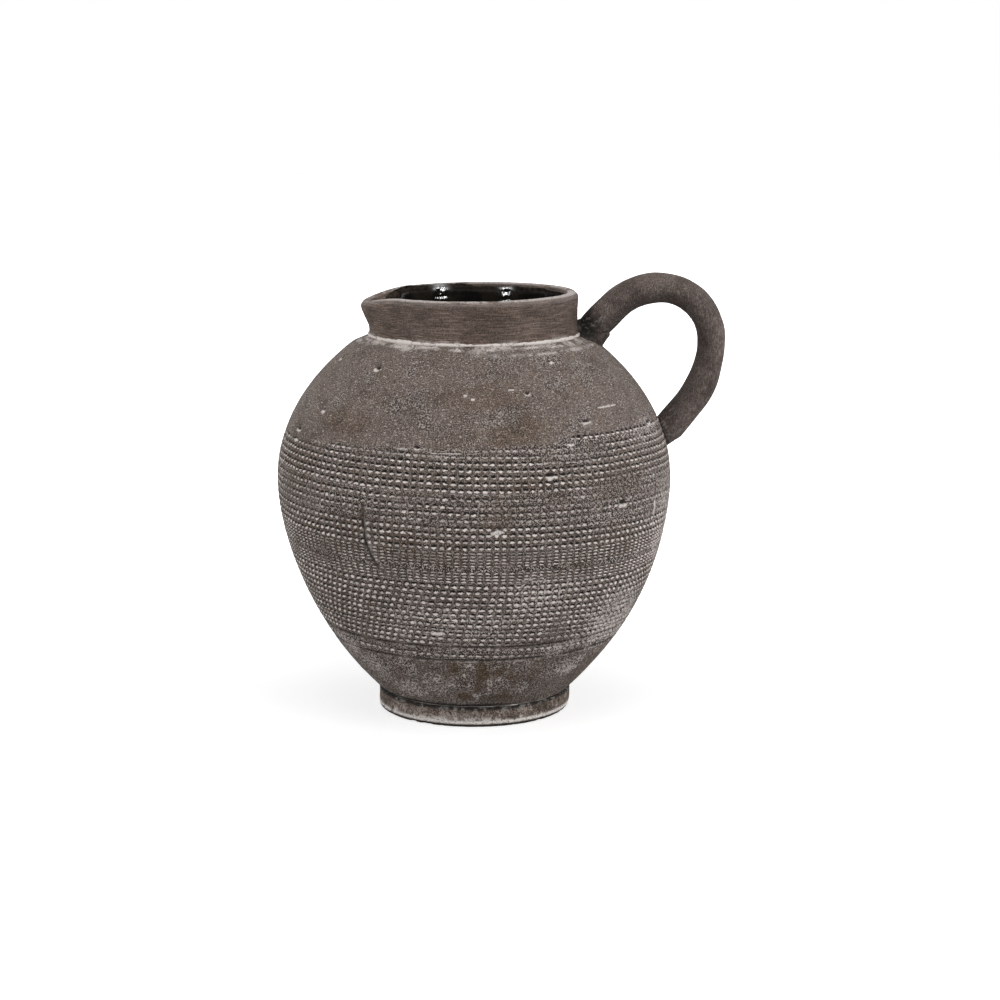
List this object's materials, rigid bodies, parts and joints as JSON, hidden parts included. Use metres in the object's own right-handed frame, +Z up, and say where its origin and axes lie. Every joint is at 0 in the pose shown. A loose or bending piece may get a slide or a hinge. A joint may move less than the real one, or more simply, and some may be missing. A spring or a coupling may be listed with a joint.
{
  "type": "ceramic jug",
  "caption": "Round-bellied earthenware jug with a rolled loop handle, short neck, pulled pouring lip, low foot and rouletted belly; dark unglazed clay outside, black glaze inside.",
  "frame": {"origin": "middle of the foot's flat underside, on the jug's axis", "axes": "+Z up the jug's axis, +X towards the handle, the pouring lip on -X"},
  "size_m": [0.2669, 0.2348, 0.2616],
  "materials": {
    "body_clay": "matte unglazed",
    "foot_clay": "matte unglazed, worn pale",
    "neck_clay": "matte unglazed",
    "handle_clay": "matte unglazed",
    "slip": "chalky",
    "glaze": "glossy"
  },
  "bodies": {
    "root": {"base_disc": "foot_clay", "foot_slip_seam": "slip", "lower_body": "body_clay", "waist_slip_seam": "slip", "upper_body": "body_clay", "neck_slip_seam": "slip", "neck_collar": "neck_clay", "handle_coil": "handle_clay", "handle_upper_luting": "handle_clay", "handle_lower_luting": "handle_clay", "glaze_lining": "glaze"}
  },
  "joints": []
}
